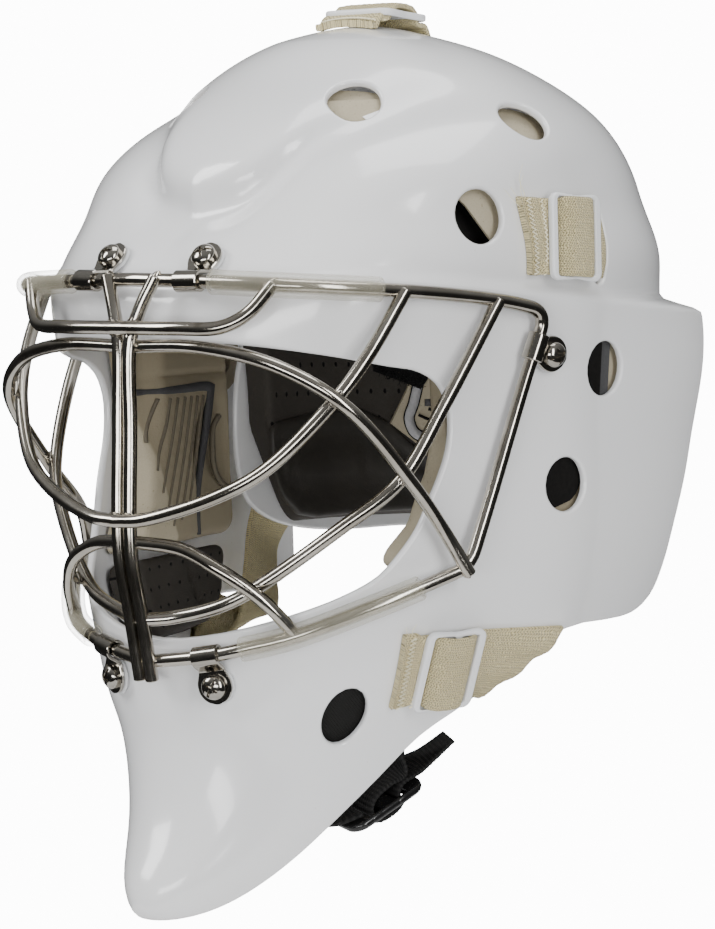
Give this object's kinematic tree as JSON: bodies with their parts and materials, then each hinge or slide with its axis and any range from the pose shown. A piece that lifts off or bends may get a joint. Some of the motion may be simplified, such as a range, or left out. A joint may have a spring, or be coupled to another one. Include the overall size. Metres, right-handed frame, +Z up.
{
  "type": "hockey goalie mask",
  "caption": "Moulded white goalie mask with a welded wire cage over the face, a back plate held by elastic straps, foam lining and a webbing chin strap.",
  "frame": {"origin": "inside the head hollow on the mirror plane, at eye level between the ears, where the head sits", "axes": "+Z up towards the crown as worn, +X towards the wearer's left ear, -Y forwards through the cage"},
  "size_m": [0.2082, 0.249, 0.3188],
  "materials": {
    "shell_white": "moulded shell with a glossy white coat",
    "plate_white": "moulded plate, glossy white",
    "wire_steel": "polished stainless wire, faint drawing lines",
    "clip_steel": "bent spring clip, lightly brushed",
    "screw_steel": "domed steel screw",
    "washer_nylon": "translucent white washer",
    "clear_vinyl": "clear, slightly yellow soft sleeve",
    "cream_elastic": "knitted cream elastic",
    "buckle_white": "white moulded buckle",
    "beige_foam": "beige foam, cut edges",
    "black_foam": "black foam faced with mesh",
    "black_webbing": "ribbed black webbing",
    "buckle_black": "glossy black moulded buckle"
  },
  "bodies": {
    "root": {"shell": "shell_white", "back_plate": "plate_white", "cage": "wire_steel", "cage_clamp_top_left": "clip_steel", "cage_clamp_top_right": "clip_steel", "cage_clamp_side_left": "clip_steel", "cage_clamp_side_right": "clip_steel", "cage_clamp_bottom_left": "clip_steel", "cage_clamp_bottom_right": "clip_steel", "clamp_screw_top_left": "screw_steel", "clamp_screw_top_right": "screw_steel", "clamp_screw_side_left": "screw_steel", "clamp_screw_side_right": "screw_steel", "clamp_screw_bottom_left": "screw_steel", "clamp_screw_bottom_right": "screw_steel", "clamp_washer_top_left": "washer_nylon", "clamp_washer_top_right": "washer_nylon", "clamp_washer_side_left": "washer_nylon", "clamp_washer_side_right": "washer_nylon", "clamp_washer_bottom_left": "washer_nylon", "clamp_washer_bottom_right": "washer_nylon", "cage_sleeve_top_left": "clear_vinyl", "cage_sleeve_top_right": "clear_vinyl", "cage_sleeve_bottom_left": "clear_vinyl", "cage_sleeve_bottom_right": "clear_vinyl", "strap_upper_left": "cream_elastic", "strap_upper_right": "cream_elastic", "strap_lower_left": "cream_elastic", "strap_lower_right": "cream_elastic", "strap_top": "cream_elastic", "buckle_upper_left": "buckle_white", "buckle_upper_right": "buckle_white", "buckle_lower_left": "buckle_white", "buckle_lower_right": "buckle_white", "buckle_top": "buckle_white", "forehead_pad": "beige_foam", "crown_pad": "beige_foam", "temple_pad_left": "beige_foam", "temple_pad_right": "beige_foam", "jaw_pad_left": "black_foam", "jaw_pad_right": "black_foam", "chin_pad": "black_foam", "back_pad": "black_foam", "chin_strap": "black_webbing", "chin_strap_tail": "black_webbing", "chin_buckle": "buckle_black"}
  },
  "joints": []
}
